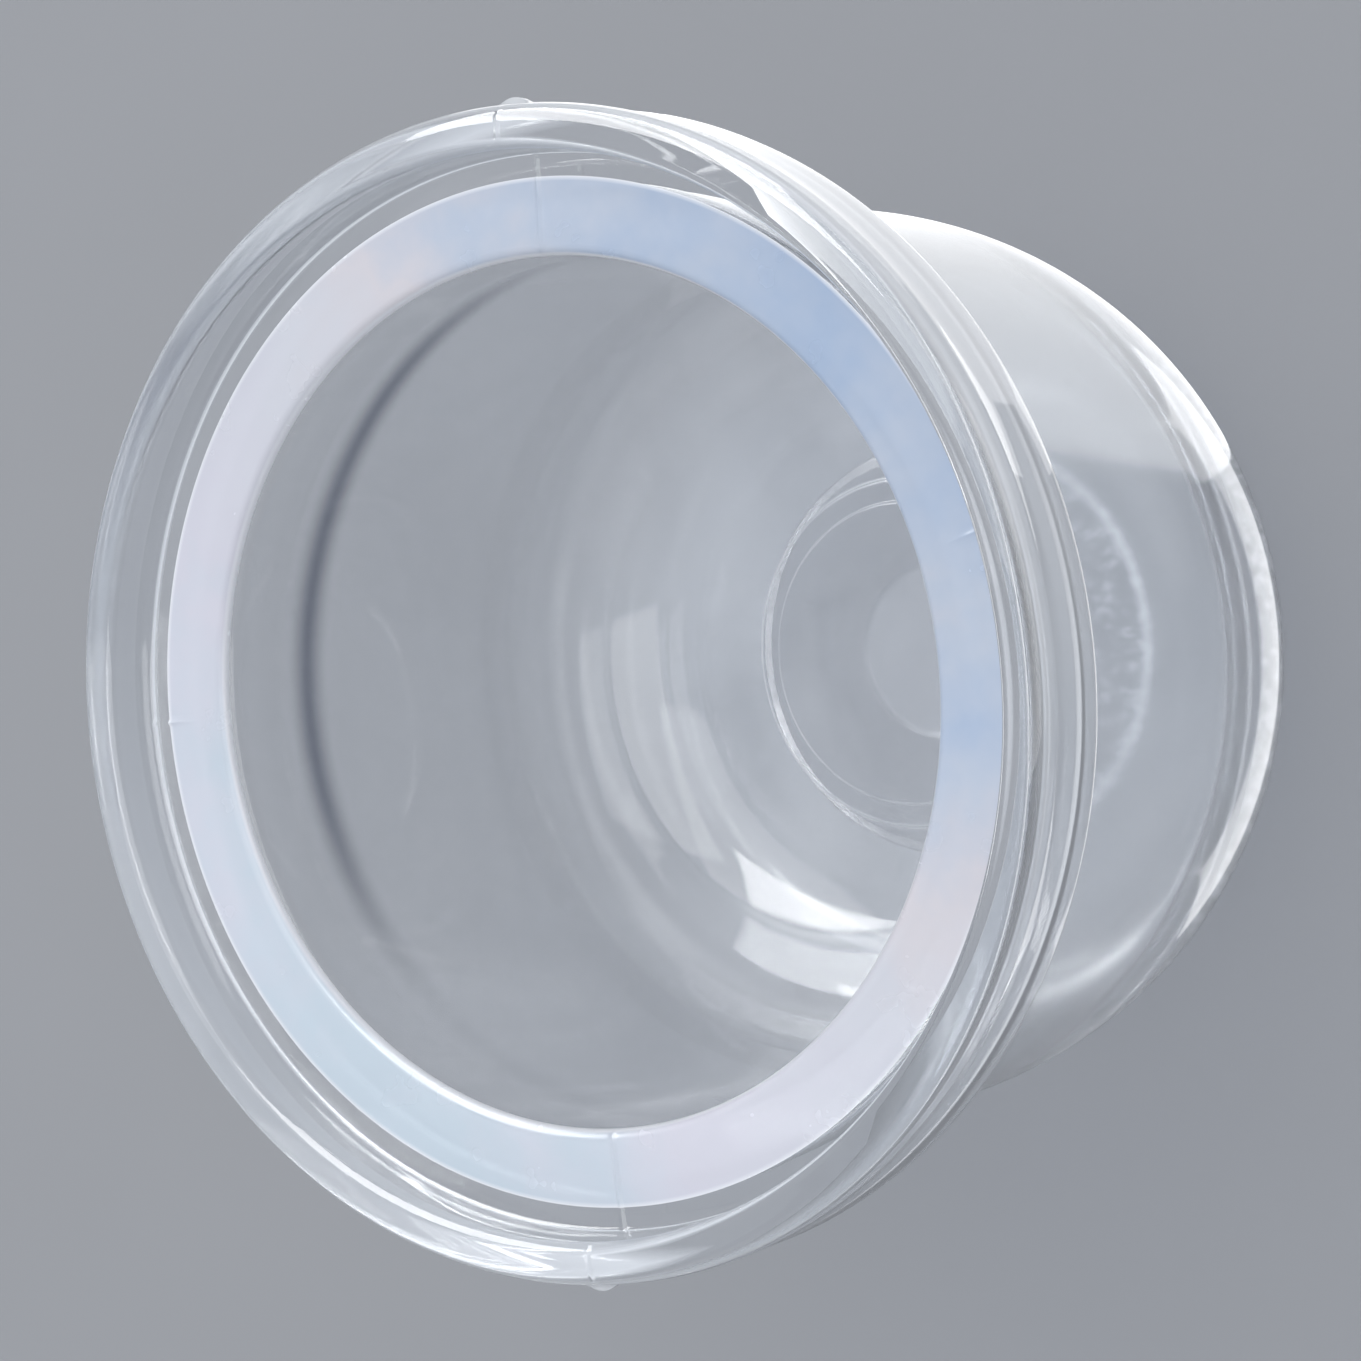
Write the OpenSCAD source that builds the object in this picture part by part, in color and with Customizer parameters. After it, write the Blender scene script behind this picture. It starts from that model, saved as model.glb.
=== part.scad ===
// Silicone cupping cup: one clear moulding, modelled as its working regions.
// The cup stands on its closed end with its mouth up. Z is the cup's axis, z = 0 is the
// outer face of the crown, and the pressed parts travel along +Z. Millimetres.

/* [Overall] */
// Diameter over the rim bead
rim_d = 60; // [50:1:80]
// Height from the crown's outer face to the front of the rim
cup_h = 46; // [42:1:60]
// Diameter of the mouth opening
mouth_d = 45; // [40:0.5:46]

/* [Flange] */
// Axial thickness of the rim bead
bead_t = 6.4; // [5.5:0.1:8]
// Radial width of the rim bead
bead_w = 2.3; // [2:0.1:3]
// Depth of the flange face below the front of the rim
flange_recess = 3.4; // [2:0.1:3.8]
// Radius on the outer edges of the bead
bead_round = 1; // [0.3:0.1:1.1]
// Radius on the edge of the mouth
mouth_round = 0.6; // [0.3:0.1:1]

/* [Wall] */
// Outer diameter of the side wall
body_d = 52; // [51:0.5:53]
// Thickness of the side wall
wall_t = 2.8; // [2.2:0.1:3]
// Length of the narrow land inside the mouth
land_h = 4.6; // [3.5:0.1:6]
// Length of the sloping step behind the land
step_h = 1.1; // [0.8:0.1:1.5]
// Fillet between the side wall and the flange
root_fillet = 0.5; // [0.3:0.1:0.7]

/* [Shoulder and crown] */
// Height at which the shoulder begins to curve in
shoulder_h = 15.8; // [14:0.2:17]
// Radius of the crown and of its flat outer face
flat_r = 17.5; // [16.5:0.5:19]
// Thickness of the crown
crown_t = 6; // [5:0.2:7]
// Height of the part of the shoulder that folds when the crown is pressed
fold_h = 9; // [8:0.2:11]
// Radius of the frosted recess in the outer face
frost_r = 12.6; // [11:0.2:14]
// Depth of the frosted recess
frost_depth = 0.4; // [0.2:0.1:0.6]
// Radius of the round gate mark in the recess
gate_r = 5.4; // [4:0.2:7]
// Outer radius of the step ring on the inner face
ring_r = 10.5; // [9.5:0.1:12]
// Radius of the raised disc on the inner face
disc_r = 9.1; // [7:0.1:9.3]
// Height of one step on the inner face
step_rise = 0.3; // [0.2:0.1:0.5]

/* [Mould marks] */
// Height of the parting ridges above the flange face
ridge_rise = 0.15; // [0.1:0.05:0.3]
// Width of a parting ridge
ridge_w = 0.22; // [0.15:0.01:0.4]
// How far the flash stands out from the bead
flash_out = 0.35; // [0.1:0.05:0.4]

/* [Hidden] */
$fn = 128;

// Clearance all round the moving crown
slip = 0.1;
// Segments in a quarter turn of a rounded edge, and of the shoulder
edge_steps = 5;
shoulder_steps = 10;

rim_r = rim_d / 2;
mouth_r = mouth_d / 2;
body_r = body_d / 2;
bore_r = body_r - wall_t;
bead_inner_r = rim_r - bead_w;
bead_inner_round = 0.6;

flange_z = cup_h - flange_recess;
flange_back_z = cup_h - bead_t;
land_z = flange_z - land_h;
neck_z = land_z - step_h;
lip_outer_r = body_r + root_fillet;
fillet_z = flange_back_z - root_fillet;

// Half axes of the shoulder's outer and inner curves, which share one height
outer_a = body_r - flat_r;
outer_b = shoulder_h;
inner_b = shoulder_h - crown_t;
inner_a = inner_b;
// Radius of the flat inner face of the crown
inner_flat_r = bore_r - inner_a;

silicone = [0.80, 0.84, 0.90, 0.35];
silicone_milky = [0.82, 0.86, 0.93, 0.60];
silicone_frosted = [0.84, 0.86, 0.90, 0.50];

// Points of an elliptical arc about (r, z), from one angle to another
function arc(r, z, a, b, from, to, steps) =
    [for (i = [0 : steps]) let (t = from + (to - from) * i / steps) [r + a * cos(t), z + b * sin(t)]];

// Angles on the shoulder's outer and inner curves, at a radius and at the top of the fold
function outer_angle(r) = -acos((r - flat_r) / outer_a);
function inner_angle(r) = -acos((r - inner_flat_r) / inner_a);
outer_fold_angle = -asin((shoulder_h - fold_h) / outer_b);
inner_fold_angle = -asin((shoulder_h - fold_h) / inner_b);

module ring(r_out, r_in, z_low, z_high) {
    rotate_extrude() translate([r_in, z_low]) square([r_out - r_in, z_high - z_low]);
}

module rim_bead() {
    color(silicone) rotate_extrude() polygon(concat(
        [[bead_inner_r, flange_back_z]],
        arc(rim_r - bead_round, flange_back_z + bead_round, bead_round, bead_round, -90, 0, edge_steps),
        arc(rim_r - bead_round, cup_h - bead_round, bead_round, bead_round, 0, 90, edge_steps),
        arc(bead_inner_r + bead_inner_round, cup_h - bead_inner_round,
            bead_inner_round, bead_inner_round, 90, 180, edge_steps)
    ));
}

module flange_web() {
    color(silicone) ring(bead_inner_r, lip_outer_r, flange_back_z, flange_z);
}

module mouth_lip() {
    color(silicone_milky) rotate_extrude() polygon(concat(
        [[mouth_r, flange_back_z], [lip_outer_r, flange_back_z], [lip_outer_r, flange_z]],
        arc(mouth_r + mouth_round, flange_z - mouth_round, mouth_round, mouth_round,
            90, 180, edge_steps)
    ));
}

module neck_wall() {
    color(silicone) rotate_extrude() polygon(concat(
        [[mouth_r, flange_back_z], [mouth_r, land_z], [bore_r, neck_z], [body_r, neck_z]],
        arc(body_r + root_fillet, fillet_z, root_fillet, root_fillet, 180, 90, edge_steps)
    ));
}

module side_wall() {
    color(silicone) ring(body_r, bore_r, shoulder_h, neck_z);
}

// A ring cut from the shoulder between two angles on each of its curves
module shoulder_band(outer_from, outer_to, inner_from, inner_to) {
    rotate_extrude() polygon(concat(
        arc(flat_r, shoulder_h, outer_a, outer_b, outer_from, outer_to, shoulder_steps),
        arc(inner_flat_r, shoulder_h, inner_a, inner_b, inner_to, inner_from, shoulder_steps)
    ));
}

module shoulder() {
    color(silicone) shoulder_band(outer_fold_angle, 0, inner_fold_angle, 0);
}

module crown_fold() {
    edge_r = flat_r + slip;
    color(silicone)
        shoulder_band(outer_angle(edge_r), outer_fold_angle, inner_angle(edge_r), inner_fold_angle);
}

module crown_panel() {
    color(silicone) rotate_extrude() polygon(concat(
        [[0, frost_depth], [frost_r, frost_depth], [frost_r, 0], [flat_r, 0]],
        arc(inner_flat_r, shoulder_h, inner_a, inner_b, inner_angle(flat_r), -90, edge_steps),
        [[0, crown_t]]
    ));
}

module crown_step_ring() {
    color(silicone) ring(ring_r, disc_r, crown_t, crown_t + step_rise);
}

module crown_disc() {
    color(silicone_frosted) translate([0, 0, crown_t]) cylinder(r = disc_r, h = 2 * step_rise);
}

module gate_mark() {
    rise = frost_depth / 2;
    color(silicone_frosted) translate([0, 0, frost_depth - rise]) cylinder(r = gate_r, h = rise);
}

// A radial ridge on the flange face, from the bead inwards
module ridge(angle, reach) {
    rotate(angle) translate([bead_inner_r - reach, -ridge_w / 2, flange_z])
        cube([reach, ridge_w, ridge_rise]);
}

// A long ridge at each end of the mould's parting line, and a short one on each side
module parting_ridges() {
    web_w = bead_inner_r - lip_outer_r;
    face_w = bead_inner_r - mouth_r - 2 * mouth_round;
    color(silicone) {
        for (a = [92, -81]) ridge(a, face_w);
        for (a = [20, 186]) ridge(a, web_w);
    }
}

// Thin tongues of flash where the mould halves met at the edge of the bead
module rim_flash() {
    tongue_w = 1.5;
    tongue_t = 0.3;
    tongue_z = (cup_h + flange_back_z) / 2;
    color(silicone) intersection() {
        ring(rim_r + flash_out, rim_r, tongue_z - tongue_t / 2, tongue_z + tongue_t / 2);
        for (a = [96, -84])
            rotate(a) translate([rim_r - 1, -tongue_w / 2, tongue_z - tongue_t])
                cube([2, tongue_w, 2 * tongue_t]);
    }
}

rim_bead();
rim_flash();
flange_web();
parting_ridges();
mouth_lip();
neck_wall();
side_wall();
shoulder();
crown_fold();
crown_panel();
crown_step_ring();
crown_disc();
gate_mark();
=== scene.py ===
import math

import bpy
from mathutils import Matrix, Vector, noise


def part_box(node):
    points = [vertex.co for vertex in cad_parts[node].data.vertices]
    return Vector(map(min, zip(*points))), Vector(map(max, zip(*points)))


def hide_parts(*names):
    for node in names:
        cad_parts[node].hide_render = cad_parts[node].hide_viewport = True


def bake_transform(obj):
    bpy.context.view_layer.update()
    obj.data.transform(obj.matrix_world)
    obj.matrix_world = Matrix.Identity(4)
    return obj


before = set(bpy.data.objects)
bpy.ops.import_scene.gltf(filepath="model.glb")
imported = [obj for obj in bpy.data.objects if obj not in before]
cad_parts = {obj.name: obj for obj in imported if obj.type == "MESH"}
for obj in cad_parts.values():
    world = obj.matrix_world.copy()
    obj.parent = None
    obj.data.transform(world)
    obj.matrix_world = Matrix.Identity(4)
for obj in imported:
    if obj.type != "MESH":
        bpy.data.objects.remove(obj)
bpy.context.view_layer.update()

MM = 0.001


# ---------------------------------------------------------------- sizes, from the frame, in mm

def low(node, axis):
    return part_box(node)[0][axis] / MM


def high(node, axis):
    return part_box(node)[1][axis] / MM


def inner_radius(node):
    """Radius of the hole through a ring-shaped node."""
    return min(math.hypot(v.co.x, v.co.y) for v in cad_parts[node].data.vertices) / MM


X, Z = 0, 2
RIM_R = high("rim_bead", X)
CUP_H = high("rim_bead", Z)
FLANGE_BACK = low("rim_bead", Z)
BEAD_INNER_R = inner_radius("rim_bead")
FLANGE_FACE = high("flange_web", Z)
LIP_OUTER_R = high("mouth_lip", X)
MOUTH_R = inner_radius("mouth_lip")
BODY_R = high("side_wall", X)
BORE_R = inner_radius("side_wall")
NECK_Z = high("side_wall", Z)
SHOULDER_Z = low("side_wall", Z)
FLAT_R = high("crown_panel", X)
CROWN_T = low("crown_step_ring", Z)
RING_R = high("crown_step_ring", X)
RING_TOP = high("crown_step_ring", Z)
DISC_R = high("crown_disc", X)
DISC_TOP = high("crown_disc", Z)
GATE_R = high("gate_mark", X)
RECESS_Z = high("gate_mark", Z)
GATE_Z = low("gate_mark", Z)
RIDGE_RISE = high("parting_ridges", Z) - FLANGE_FACE

# Sizes that no node's box gives, as in the part's source
STEP_H = 1.1
FROST_R = 12.6
INNER_CURVE = SHOULDER_Z - CROWN_T

# Mould marks: angles in degrees round the axis, other sizes in mm
RIDGE_W = 0.22
LONG_RIDGES = (92, -81)
SHORT_RIDGES = (20, 186)
FLASHES = (91.5, -81.5)
FLASH_OUT = 0.35
FLASH_W = 2.0
FLASH_Z = CUP_H - 1.4
FLASH_T = 0.3
PARTING_LINE = 0.04


# ---------------------------------------------------------------- the outline that is turned

CLEAR, MILKY, FROSTED = 0, 1, 2
CURVE_STEPS = 34
FILLET_STEPS = 5
LONGEST_SPAN = 1.2

# Rounds on the corners of the outline
STEP_ROUND = 0.14
NECK_ROUND = 0.5
LIP_ROUND = 0.6
BEAD_ROOT_ROUND = 0.3
BEAD_INNER_ROUND = 0.6
BEAD_ROUND = 1.0
FLANGE_ROOT_ROUND = 0.5
RECESS_ROUND = 0.3
GATE_ROUND = 0.2
# How far the edges of the recess and of the gate mark slope inwards
RECESS_SLOPE = 0.7
GATE_SLOPE = 0.3
# Rows of the outline across a tongue of flash, as shares of its thickness
FLASH_ROWS = (-1, -0.5, -0.2, 0, 0.2, 0.5, 1)


def arc(r, z, a, b, start, end, steps):
    """Points on an elliptical arc about (r, z), angles in degrees."""
    turns = [math.radians(start + (end - start) * i / steps) for i in range(steps + 1)]
    return [(r + a * math.cos(t), z + b * math.sin(t)) for t in turns]


def corner(before, here, after, radius):
    """The round that replaces the corner at here."""
    p = Vector(here)
    back, on = (Vector(before) - p).normalized(), (Vector(after) - p).normalized()
    half = back.angle(on) / 2
    start, end = p + back * radius / math.tan(half), p + on * radius / math.tan(half)
    centre = p + (back + on).normalized() * radius / math.sin(half)
    first = math.atan2(start.y - centre.y, start.x - centre.x)
    turn = math.atan2(end.y - centre.y, end.x - centre.x) - first
    turn = (turn + math.pi) % (2 * math.pi) - math.pi
    angles = [first + turn * i / FILLET_STEPS for i in range(FILLET_STEPS + 1)]
    return [(centre.x + radius * math.cos(t), centre.y + radius * math.sin(t)) for t in angles]


def outline():
    """The cup's section from the axis on the inside, over the rim, to the axis below.

    Each row is a point, the radius of the round on it, and the material from there on."""
    inner = arc(BORE_R - INNER_CURVE, SHOULDER_Z, INNER_CURVE, INNER_CURVE, -90, 0, CURVE_STEPS)
    outer = arc(FLAT_R, SHOULDER_Z, BODY_R - FLAT_R, SHOULDER_Z, 0, -90, CURVE_STEPS)
    rows = [
        ((0, DISC_TOP), 0, CLEAR),
        ((DISC_R, DISC_TOP), STEP_ROUND, CLEAR),
        ((DISC_R, RING_TOP), STEP_ROUND, CLEAR),
        ((RING_R, RING_TOP), STEP_ROUND, CLEAR),
        ((RING_R, CROWN_T), STEP_ROUND, CLEAR),
    ]
    rows += [(p, 0, CLEAR) for p in inner]
    rows += [
        ((BORE_R, NECK_Z), NECK_ROUND, CLEAR),
        ((MOUTH_R, NECK_Z + STEP_H), LIP_ROUND, CLEAR),
        ((MOUTH_R, FLANGE_FACE), LIP_ROUND, MILKY),
        ((LIP_OUTER_R, FLANGE_FACE), 0, CLEAR),
        ((BEAD_INNER_R, FLANGE_FACE), BEAD_ROOT_ROUND, CLEAR),
        ((BEAD_INNER_R, CUP_H), BEAD_INNER_ROUND, CLEAR),
        ((RIM_R, CUP_H), BEAD_ROUND, CLEAR),
    ]
    rows += [((RIM_R, FLASH_Z - FLASH_T * k), 0, CLEAR) for k in FLASH_ROWS]
    rows += [
        ((RIM_R, FLANGE_BACK), BEAD_ROUND, CLEAR),
        ((BODY_R, FLANGE_BACK), FLANGE_ROOT_ROUND, CLEAR),
    ]
    rows += [(p, 0, CLEAR) for p in outer]
    rows += [
        ((FROST_R, 0), RECESS_ROUND, FROSTED),
        ((FROST_R - RECESS_SLOPE, RECESS_Z), RECESS_ROUND, FROSTED),
        ((GATE_R, RECESS_Z), GATE_ROUND, FROSTED),
        ((GATE_R - GATE_SLOPE, GATE_Z), GATE_ROUND, FROSTED),
        ((0, GATE_Z), 0, FROSTED),
    ]
    rounded = [(rows[0][0], rows[0][2])]
    for (before, _, _), (here, radius, material), (after, _, _) in zip(rows, rows[1:], rows[2:]):
        points = corner(before, here, after, radius) if radius else [here]
        rounded += [(p, material) for p in points]
    rounded.append((rows[-1][0], rows[-1][2]))
    fine = []
    for (a, material), (b, _) in zip(rounded, rounded[1:]):
        spans = max(1, math.ceil(math.dist(a, b) / LONGEST_SPAN))
        for i in range(spans):
            t = i / spans
            fine.append(((a[0] + (b[0] - a[0]) * t, a[1] + (b[1] - a[1]) * t), material))
    return fine + [rounded[-1]]


# ---------------------------------------------------------------- turning it

SEGMENTS = 360
# Slow unevenness of the moulding below the flange, away from the axis
RIPPLE = 0.006
RIPPLE_SIZE = 14.0
RIPPLE_INNER_R = 14
RIPPLE_TOP = FLANGE_BACK - 0.6


def turns():
    """Angles of the turned columns, closer together at the mould marks."""
    even = [360 * i / SEGMENTS for i in range(SEGMENTS)]
    marks = []
    for a in LONG_RIDGES + SHORT_RIDGES:
        half = math.degrees(RIDGE_W / 2 / BEAD_INNER_R)
        marks += [a + half * k for k in (-2, -1, -0.5, 0, 0.5, 1, 2)]
    for a in FLASHES:
        half = math.degrees(FLASH_W / 2 / RIM_R)
        marks += [a + half * k / 4 for k in range(-5, 6)]
    marks = sorted(m % 360 for m in marks)
    gap = 360 / SEGMENTS / 3
    return sorted([a for a in even if near(a, marks) > gap] + marks)


def near(angle, targets):
    """Degrees to the nearest of the target angles."""
    return min(abs((angle - t + 180) % 360 - 180) for t in targets)


def turned_point(r, z, angle):
    """A point of the outline turned to an angle, with its mould marks and unevenness."""
    t = math.radians(angle)
    c, s = math.cos(t), math.sin(t)
    if r > RIPPLE_INNER_R and z <= RIPPLE_TOP:
        r += RIPPLE * noise.noise(Vector((r * c, r * s, z)) / RIPPLE_SIZE)
    if abs(z - FLASH_Z) < FLASH_T * 0.55 and r > RIM_R - 0.1:
        tongue = near(angle, FLASHES) / math.degrees(FLASH_W / 2 / RIM_R)
        r += max(PARTING_LINE, FLASH_OUT * (1 - tongue ** 2))
    mark = math.degrees(RIDGE_W / r) if r > 1 else 0
    on_face = abs(z - FLANGE_FACE) < 0.2 and r < BEAD_INNER_R - 0.1
    on_bead = z > CUP_H - 0.5
    if on_face and r > LIP_OUTER_R - 0.01:
        z += RIDGE_RISE * max(0, 1 - near(angle, LONG_RIDGES + SHORT_RIDGES) / mark)
    elif on_face or on_bead:
        z += RIDGE_RISE / 2 * max(0, 1 - near(angle, LONG_RIDGES) / mark)
    return Vector((r * c, r * s, z)) * MM


def make_cup():
    """The whole moulding as one closed mesh."""
    section = outline()
    angles = turns()
    verts, faces, slots = [], [], []
    rings = []
    for (r, z), _ in section:
        if r < 1e-6:
            rings.append([len(verts)])
            verts.append(Vector((0, 0, z * MM)))
        else:
            rings.append(list(range(len(verts), len(verts) + len(angles))))
            verts += [turned_point(r, z, a) for a in angles]
    count = len(angles)
    for k in range(len(section) - 1):
        here, there = rings[k], rings[k + 1]
        material = section[k][1]
        for i in range(count):
            j = (i + 1) % count
            if len(here) == 1:
                faces.append((here[0], there[i], there[j]))
            elif len(there) == 1:
                faces.append((here[i], there[0], here[j]))
            else:
                faces.append((here[i], there[i], there[j], here[j]))
            slots.append(material)
    mesh = bpy.data.meshes.new("cup_moulding")
    mesh.from_pydata(verts, [], faces)
    mesh.polygons.foreach_set("material_index", slots)
    mesh.polygons.foreach_set("use_smooth", [True] * len(faces))
    mesh.update()
    ob = bpy.data.objects.new("cup_moulding", mesh)
    bpy.context.scene.collection.objects.link(ob)
    return ob


# ---------------------------------------------------------------- materials

def set_stops(node, stops):
    """Gives a colour ramp node its positions and colours."""
    elements = node.color_ramp.elements
    while len(elements) < len(stops):
        elements.new(0.5)
    for element, (at, colour) in zip(elements, stops):
        element.position = at
        element.color = (*colour, 1)


class Nodes:
    """A short way to add and join a material's nodes."""

    def __init__(self, name):
        self.material = bpy.data.materials.new(name)
        self.material.use_nodes = True
        self.tree = self.material.node_tree
        self.tree.nodes.clear()

    def add(self, kind, values=None, **settings):
        node = self.tree.nodes.new(kind)
        for key, value in settings.items():
            setattr(node, key, value)
        for key, value in (values or {}).items():
            node.inputs[key].default_value = value
        return node

    def join(self, source, target):
        self.tree.links.new(source, target)

    def place(self):
        return self.add("ShaderNodeTexCoord").outputs["Object"]

    def noise(self, place, scale, detail=3.0, rough=0.5, warp=0.0):
        n = self.add("ShaderNodeTexNoise",
                     {"Scale": scale, "Detail": detail, "Roughness": rough, "Distortion": warp})
        self.join(place, n.inputs["Vector"])
        return n.outputs["Fac"]

    def spread(self, value, low_in, high_in, low_out, high_out, smooth=False):
        n = self.add("ShaderNodeMapRange",
                     {"From Min": low_in, "From Max": high_in, "To Min": low_out, "To Max": high_out})
        if smooth:
            n.interpolation_type = "SMOOTHSTEP"
        self.join(value, n.inputs["Value"])
        return n.outputs["Result"]

    def ramp(self, value, stops):
        n = self.add("ShaderNodeValToRGB")
        set_stops(n, stops)
        self.join(value, n.inputs["Fac"])
        return n.outputs["Color"]

    def math(self, operation, a, b):
        n = self.add("ShaderNodeMath", operation=operation)
        for value, socket in zip((a, b), n.inputs):
            if isinstance(value, (int, float)):
                socket.default_value = value
            else:
                self.join(value, socket)
        return n.outputs[0]

    def times(self, a, b):
        return self.math("MULTIPLY", a, b)

    def plus(self, a, b):
        return self.math("ADD", a, b)

    def minus(self, a, b):
        return self.math("SUBTRACT", a, b)

    def larger(self, a, b):
        return self.math("MAXIMUM", a, b)

    def size(self, a):
        return self.math("ABSOLUTE", a, 0)

    def round_the_axis(self, place):
        """Distance from the cup's axis and height above its base, in mm."""
        split = self.add("ShaderNodeSeparateXYZ")
        self.join(place, split.inputs[0])
        flat = self.add("ShaderNodeCombineXYZ")
        self.join(split.outputs["X"], flat.inputs["X"])
        self.join(split.outputs["Y"], flat.inputs["Y"])
        length = self.add("ShaderNodeVectorMath", operation="LENGTH")
        self.join(flat.outputs[0], length.inputs[0])
        return (self.math("DIVIDE", length.outputs["Value"], MM),
                self.math("DIVIDE", split.outputs["Z"], MM))

    def towards(self, place, angle):
        """From -1 to 1, how far a point lies on the side of the axis at this angle."""
        flat = self.add("ShaderNodeVectorMath", operation="MULTIPLY")
        flat.inputs[1].default_value = (1, 1, 0)
        self.join(place, flat.inputs[0])
        unit = self.add("ShaderNodeVectorMath", operation="NORMALIZE")
        self.join(flat.outputs[0], unit.inputs[0])
        dot = self.add("ShaderNodeVectorMath", operation="DOT_PRODUCT")
        t = math.radians(angle)
        dot.inputs[1].default_value = (math.cos(t), math.sin(t), 0)
        self.join(unit.outputs[0], dot.inputs[0])
        return dot.outputs["Value"]

    def ring_line(self, radius, at, half_width, strength):
        """A soft line round the axis."""
        away = self.size(self.minus(radius, at))
        return self.spread(away, half_width, 0, 0, strength, smooth=True)

    def bump(self, value, strength, distance):
        n = self.add("ShaderNodeBump", {"Strength": strength, "Distance": distance})
        self.join(value, n.inputs["Height"])
        return n.outputs["Normal"]

    def finish(self, shader, shadow=None):
        """Ends the tree. Where shadow is a colour, light reaches what is behind the surface."""
        out = self.add("ShaderNodeOutputMaterial")
        if shadow:
            path = self.add("ShaderNodeLightPath")
            clear = self.add("ShaderNodeBsdfTransparent", {"Color": (*shadow, 1)})
            for ray in ("Is Shadow Ray", "Is Diffuse Ray"):
                mix = self.add("ShaderNodeMixShader")
                self.join(path.outputs[ray], mix.inputs["Fac"])
                self.join(shader, mix.inputs[1])
                self.join(clear.outputs[0], mix.inputs[2])
                shader = mix.outputs[0]
        self.join(shader, out.inputs["Surface"])
        return self.material


SILICONE_IOR = 1.41
SILICONE_TINT = (0.955, 0.97, 0.985)
# Share of the light that goes on through a surface to what it shades
SHADE_CLEAR = (0.90, 0.91, 0.925)
SHADE_MILKY = (0.68, 0.70, 0.74)

# Painted shade: a dark crescent on one side of the bore, just behind the step of the neck
PAINTED_SHADE_TINT = (0.16, 0.175, 0.23)
PAINTED_SHADE_Z = NECK_Z - 2.4
PAINTED_SHADE_HALF = 1.9
PAINTED_SHADE_ANGLE = 165

# Directions of the whitest stretches of the rim (rubbed haze and painted highlight), of the darkest and
# bluest painted shade on the lip, and of the scuffs
RIM_HAZE_AND_HIGHLIGHT_ANGLE = 60
LIP_SHADE_ANGLE = 50
SCUFF_ANGLE = 5

# Painted light and shade round the lip, from the side away from its most shaded direction to the side at
# it, where it is darkest and bluest
LIP_LIGHT_AND_SHADE = [
    (0.0, (0.63, 0.72, 0.79)), (0.25, (0.72, 0.71, 0.78)), (0.5, (0.71, 0.72, 0.77)),
    (0.68, (0.72, 0.69, 0.72)), (0.84, (0.55, 0.61, 0.71)), (1.0, (0.41, 0.51, 0.67)),
]
# Painted highlight: the bright lines along the lip's inner and outer edges
LIP_EDGE_HIGHLIGHT = (0.92, 0.93, 0.96)


def dusty_outside(n, radius, height):
    """1 on the outside of the wall and on the shoulder and crown, 0 elsewhere."""
    outside = n.spread(radius, BODY_R - 1.2, BODY_R - 0.4, 0, 1)
    below_rim = n.spread(height, FLANGE_BACK - 1, FLANGE_BACK, 1, 0)
    shoulder = n.spread(height, SHOULDER_Z - 1, SHOULDER_Z, 1, 0)
    return n.times(n.larger(outside, shoulder), below_rim)


def painted_shade_crescent(n, place, radius, height):
    """Painted shade: a dark crescent on one side of the bore, fading at its edges and its ends."""
    rise = n.spread(height, PAINTED_SHADE_Z - PAINTED_SHADE_HALF, PAINTED_SHADE_Z, 0, 1, smooth=True)
    fall = n.spread(height, PAINTED_SHADE_Z, PAINTED_SHADE_Z + PAINTED_SHADE_HALF, 1, 0, smooth=True)
    inside = n.spread(radius, BORE_R + 0.3, BORE_R + 0.4, 1, 0)
    side = n.spread(n.towards(place, PAINTED_SHADE_ANGLE), 0.35, 0.9, 0.12, 1, smooth=True)
    return n.times(n.times(n.times(rise, fall), inside), side)


def rim_haze_and_highlight(n, place, radius, height):
    """Whitening on the rim's side, partly rubbed haze and partly painted highlight, a painted highlight
    along its back edge, and haze on the flash.
    """
    rim = n.spread(radius, RIM_R - 0.5, RIM_R - 0.1, 0, 1)
    # the rim whitest along one direction: rubbed haze and painted highlight
    along = n.spread(n.size(n.towards(place, RIM_HAZE_AND_HIGHLIGHT_ANGLE)), 0.3, 1, 0.30, 0.80, smooth=True)
    # painted highlight: a bright line along the rim's back edge
    back_edge = n.times(n.spread(radius, RIM_R - 1.1, RIM_R - 0.6, 0, 1),
                        n.spread(height, FLANGE_BACK + 1.0, FLANGE_BACK + 0.4, 0, 0.75))
    flash = n.spread(radius, RIM_R + 0.06, RIM_R + 0.16, 0, 0.7)
    return n.larger(n.larger(n.times(rim, along), back_edge), flash)


def clear_silicone():
    """Clear silicone: dusty outside, smeared, its rim whitened by rubbed haze and painted highlights,
    with painted shade in a crescent inside.
    """
    n = Nodes("silicone_clear")
    place = n.place()
    radius, height = n.round_the_axis(place)
    smear = n.noise(place, 55, 4, 0.6, 0.8)
    dusty = dusty_outside(n, radius, height)
    # painted shade: a dark crescent on one side of the bore
    painted_shade = painted_shade_crescent(n, place, radius, height)
    # rubbed haze and painted highlights on the rim and its back edge
    edges = rim_haze_and_highlight(n, place, radius, height)
    steps = n.larger(n.ring_line(radius, RING_R, 0.3, 0.42), n.ring_line(radius, DISC_R, 0.25, 0.3))
    patchy = n.times(steps, n.spread(smear, 0.35, 0.65, 0.5, 1))
    dust = n.times(dusty, n.spread(smear, 0.3, 0.7, 0.09, 0.22))
    haze = n.plus(dust, n.larger(edges, patchy))
    shader = n.add("ShaderNodeBsdfPrincipled", {"IOR": SILICONE_IOR})
    # the base colour darkens to painted shade in the crescent
    n.join(n.ramp(painted_shade, [(0.0, SILICONE_TINT), (1.0, PAINTED_SHADE_TINT)]), shader.inputs["Base Color"])
    n.join(n.plus(n.spread(smear, 0.35, 0.7, 0.02, 0.06), n.times(dusty, 0.045)),
           shader.inputs["Roughness"])
    n.join(n.minus(n.spread(smear, 0.3, 0.75, 0.985, 0.95), haze), shader.inputs["Transmission Weight"])
    return n.finish(shader.outputs[0], SHADE_CLEAR)


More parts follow.
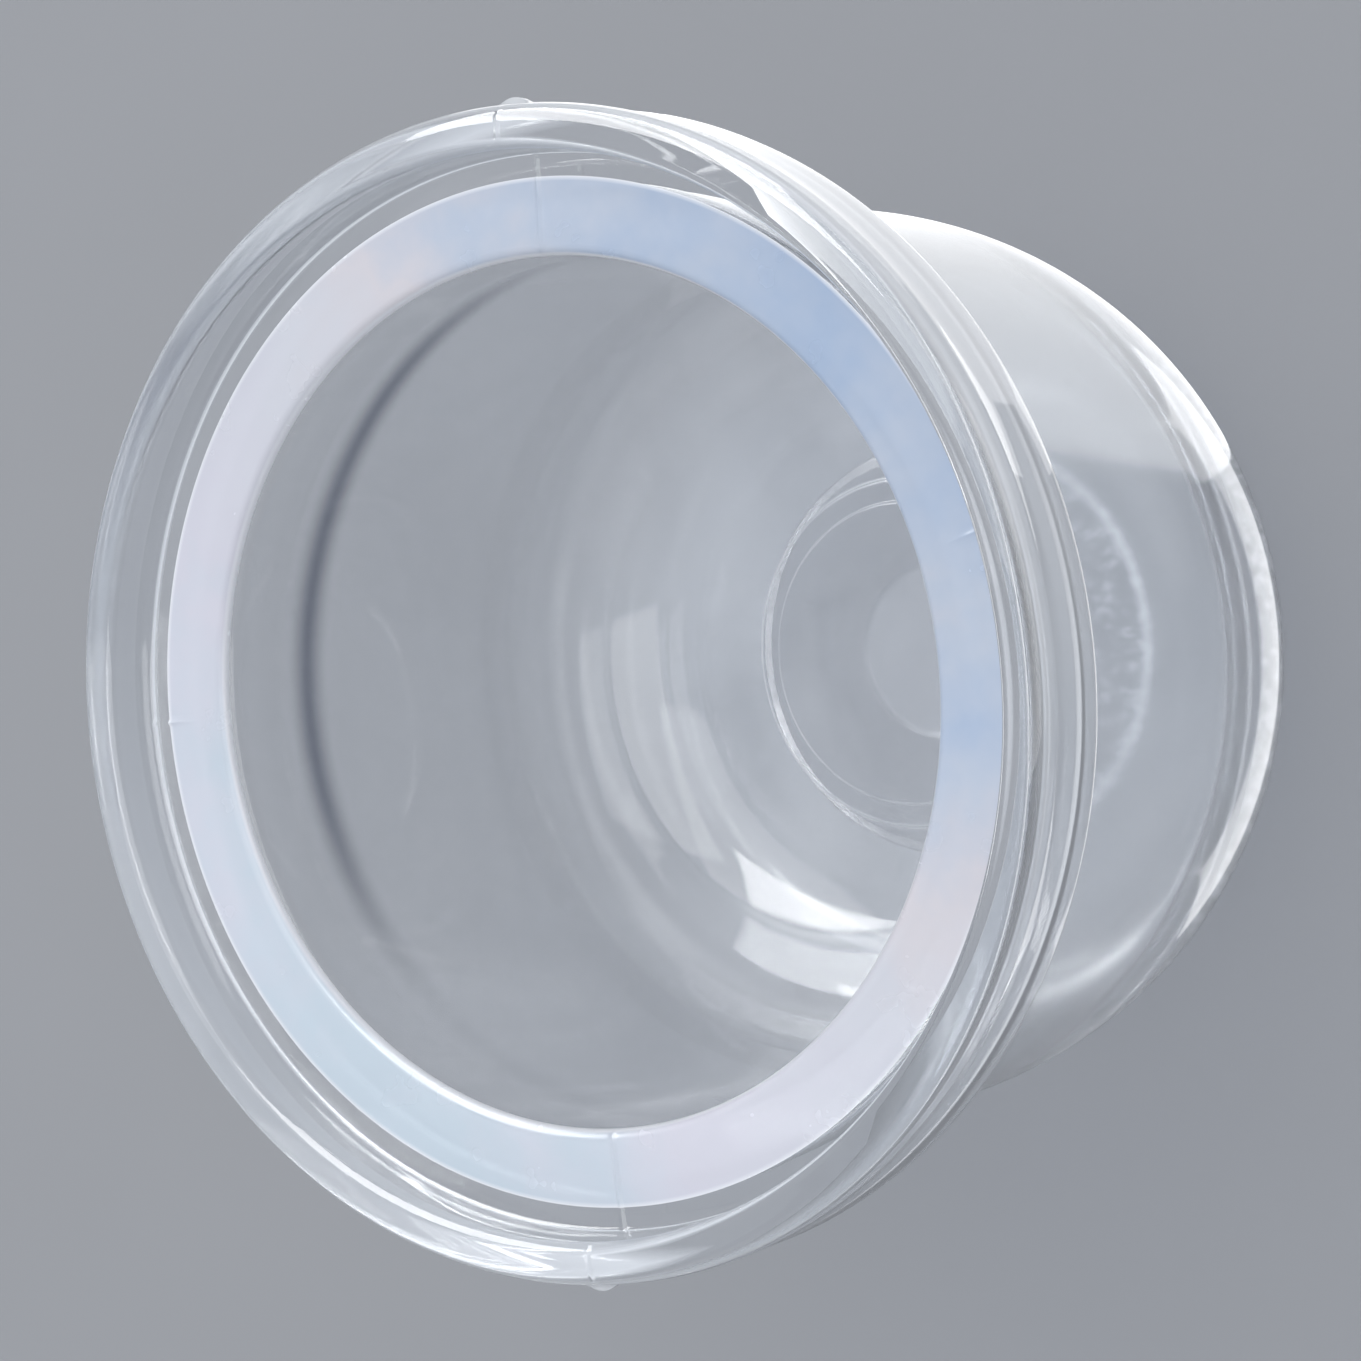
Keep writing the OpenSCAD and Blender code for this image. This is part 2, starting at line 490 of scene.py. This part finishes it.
def milky_silicone():
    """The front of the mouth lip, cloudy from the light that runs down the wall behind it; this glow is
    painted light, with painted highlights on its edges and painted shade towards one side.

    Seen from within the moulding, the same face is clear."""
    n = Nodes("silicone_milky")
    place = n.place()
    radius, _ = n.round_the_axis(place)
    cloud = n.noise(place, 60, 3, 0.5, 0.6)
    fine = n.noise(place, 260, 3, 0.6)
    drift = n.plus(n.spread(cloud, 0.3, 0.7, -0.12, 0.12), n.spread(fine, 0.3, 0.7, -0.05, 0.05))
    # painted shade: the lip darker and bluer towards one side
    side = n.plus(n.spread(n.towards(place, LIP_SHADE_ANGLE), -1, 1, 0, 1), drift)
    # painted highlight along the lip's two edges
    edge = n.larger(n.spread(radius, LIP_OUTER_R - 0.25, LIP_OUTER_R, 0, 1),
                    n.spread(radius, MOUTH_R + 0.2, MOUTH_R + 0.08, 0, 1))
    tint = n.add("ShaderNodeMix", data_type="RGBA")
    tint.inputs["B"].default_value = (*LIP_EDGE_HIGHLIGHT, 1)
    n.join(edge, tint.inputs["Factor"])
    n.join(n.ramp(side, LIP_LIGHT_AND_SHADE), tint.inputs["A"])
    cloudy = n.add("ShaderNodeBsdfPrincipled", {"IOR": SILICONE_IOR})
    n.join(tint.outputs["Result"], cloudy.inputs["Base Color"])
    n.join(n.spread(fine, 0.3, 0.7, 0.16, 0.30), cloudy.inputs["Roughness"])
    n.join(n.spread(cloud, 0.3, 0.7, 0.18, 0.08), cloudy.inputs["Transmission Weight"])
    n.join(n.bump(fine, 0.12, 0.00005), cloudy.inputs["Normal"])
    clear = n.add("ShaderNodeBsdfPrincipled", {
        "Base Color": (*SILICONE_TINT, 1), "Roughness": 0.04, "IOR": SILICONE_IOR,
        "Transmission Weight": 1.0})
    face = n.add("ShaderNodeNewGeometry")
    mix = n.add("ShaderNodeMixShader")
    n.join(face.outputs["Backfacing"], mix.inputs["Fac"])
    n.join(cloudy.outputs[0], mix.inputs[1])
    n.join(clear.outputs[0], mix.inputs[2])
    return n.finish(mix.outputs[0], SHADE_MILKY)


def frosted_silicone():
    """The finely textured recess of the crown, scuffed towards one side."""
    n = Nodes("silicone_frosted")
    place = n.place()
    radius, _ = n.round_the_axis(place)
    speck = n.noise(place, 1500, 2, 0.7)
    cloud = n.noise(place, 180, 4, 0.6)
    scuffed = n.times(n.spread(radius, 6, 9, 0, 1), n.spread(n.towards(place, SCUFF_ANGLE), 0, 0.4, 0, 1))
    scuffs = n.plus(n.spread(speck, 0.5, 0.62, 0.05, 0.55), n.ring_line(radius, FROST_R - 0.3, 0.6, 0.85))
    gate = n.spread(radius, GATE_R - 0.4, GATE_R, 0.1, 0)
    shader = n.add("ShaderNodeBsdfPrincipled", {
        "Base Color": (0.95, 0.96, 0.98, 1), "IOR": SILICONE_IOR})
    n.join(n.spread(cloud, 0.3, 0.7, 0.10, 0.20), shader.inputs["Roughness"])
    n.join(n.minus(n.minus(0.96, gate), n.times(scuffed, scuffs)), shader.inputs["Transmission Weight"])
    n.join(n.bump(speck, 0.4, 0.00003), shader.inputs["Normal"])
    return n.finish(shader.outputs[0], SHADE_CLEAR)


FLOOR_TINTS = [(0.3, (0.340, 0.345, 0.357)), (0.7, (0.346, 0.351, 0.364))]


def floor_material():
    """A plain matt surface with a faint grain."""
    n = Nodes("pale_floor")
    place = n.place()
    shader = n.add("ShaderNodeBsdfPrincipled", {"Roughness": 0.75, "Specular IOR Level": 0.0})
    n.join(n.ramp(n.noise(place, 40, 3), FLOOR_TINTS), shader.inputs["Base Color"])
    n.join(n.bump(n.noise(place, 900, 2), 0.08, 0.00005), shader.inputs["Normal"])
    return n.finish(shader.outputs[0])


# ---------------------------------------------------------------- the object

cup = make_cup()
for material in (clear_silicone(), milky_silicone(), frosted_silicone()):
    cup.data.materials.append(material)
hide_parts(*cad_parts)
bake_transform(cup)


# ---------------------------------------------------------------- floor, light and camera

FLOOR_GAP = 0.15
FLOOR_RADIUS = 2.5


def make_floor():
    """A wide disc just under the cup. Reflections miss it, so that light from below can show."""
    points = [(FLOOR_RADIUS * math.cos(t), FLOOR_RADIUS * math.sin(t), -FLOOR_GAP * MM)
              for t in (math.radians(a) for a in range(0, 360, 5))]
    mesh = bpy.data.meshes.new("floor")
    mesh.from_pydata(points, [], [tuple(range(len(points)))])
    ob = bpy.data.objects.new("floor", mesh)
    bpy.context.scene.collection.objects.link(ob)
    mesh.materials.append(floor_material())
    ob.visible_glossy = False


def facing(back, up):
    """Rotation whose local Z points along back, with local Y nearest to up."""
    z = back.normalized()
    x = up.cross(z).normalized()
    return Matrix((x, z.cross(x), z)).transposed().to_quaternion()


def softbox(name, azimuth, elevation, distance, width, height, glow, roll=0, only_gloss=False):
    """A rectangular light that faces the cup from a direction in degrees.

    Width and height are shares of the distance, and glow is the light's own brightness."""
    a, e = math.radians(azimuth), math.radians(elevation)
    back = Vector((math.cos(a) * math.cos(e), math.sin(a) * math.cos(e), math.sin(e)))
    data = bpy.data.lights.new(name, "AREA")
    data.shape = "RECTANGLE"
    data.size, data.size_y = width * distance, height * distance
    data.energy = glow * math.pi * data.size * data.size_y
    ob = bpy.data.objects.new(name, data)
    bpy.context.scene.collection.objects.link(ob)
    ob.location = Vector((0, 0, 0.02)) + back * distance
    ob.rotation_mode = "QUATERNION"
    turn = Matrix.Rotation(math.radians(roll), 3, "Z").to_quaternion()
    ob.rotation_quaternion = facing(back, Vector((0, 0, 1))) @ turn
    ob.visible_camera = False
    ob.visible_diffuse = not only_gloss


make_floor()
softbox("key", 114, 33, 0.5, 0.80, 1.08, 12.0, roll=-20, only_gloss=True)
softbox("window", 24, 43, 0.6, 1.0, 1.2, 3.0, roll=-12, only_gloss=True)
softbox("outer_wall_gleam", 113, -58, 0.5, 1.0, 0.8, 1.5, only_gloss=True)
softbox("edge_gleam", 0, -84, 0.5, 0.9, 0.3, 1.4, only_gloss=True)
softbox("top", 100, 65, 1.2, 0.8, 0.8, 2.2)


# Colours of the surroundings from the horizon up
SKY = [(0.0, (0.20, 0.21, 0.23)), (0.12, (0.30, 0.31, 0.34)), (0.45, (0.85, 0.88, 0.93)),
       (1.0, (0.55, 0.58, 0.64))]


def make_world():
    """Soft light from all round, dimmer at the horizon, so that clear edges show dark and bright."""
    world = bpy.data.worlds.new("studio")
    world.use_nodes = True
    tree = world.node_tree
    place = tree.nodes.new("ShaderNodeTexCoord")
    split = tree.nodes.new("ShaderNodeSeparateXYZ")
    ramp = tree.nodes.new("ShaderNodeValToRGB")
    set_stops(ramp, SKY)
    tree.links.new(place.outputs["Generated"], split.inputs[0])
    tree.links.new(split.outputs["Z"], ramp.inputs["Fac"])
    tree.links.new(ramp.outputs["Color"], tree.nodes["Background"].inputs["Color"])
    bpy.context.scene.world = world


make_world()

CAMERA_AIM = 0.672 * CUP_H * MM
CAMERA_TILT = math.radians(34.04)
CAMERA_TURN = math.radians(8.3)
CAMERA_DISTANCE = 0.1896
CAMERA_LENS = 92.6

camera_data = bpy.data.cameras.new("camera")
camera_data.lens = CAMERA_LENS
camera_data.sensor_width = 36
camera = bpy.data.objects.new("camera", camera_data)
bpy.context.scene.collection.objects.link(camera)
camera_back = Vector((math.sin(CAMERA_TILT) * math.cos(CAMERA_TURN),
                      math.sin(CAMERA_TILT) * math.sin(CAMERA_TURN), math.cos(CAMERA_TILT)))
camera.location = Vector((0, 0, CAMERA_AIM)) + camera_back * CAMERA_DISTANCE
camera.rotation_mode = "QUATERNION"
camera.rotation_quaternion = facing(camera_back, Vector((0, 1, 0)))
bpy.context.scene.camera = camera
bpy.context.scene.view_settings.view_transform = "Standard"
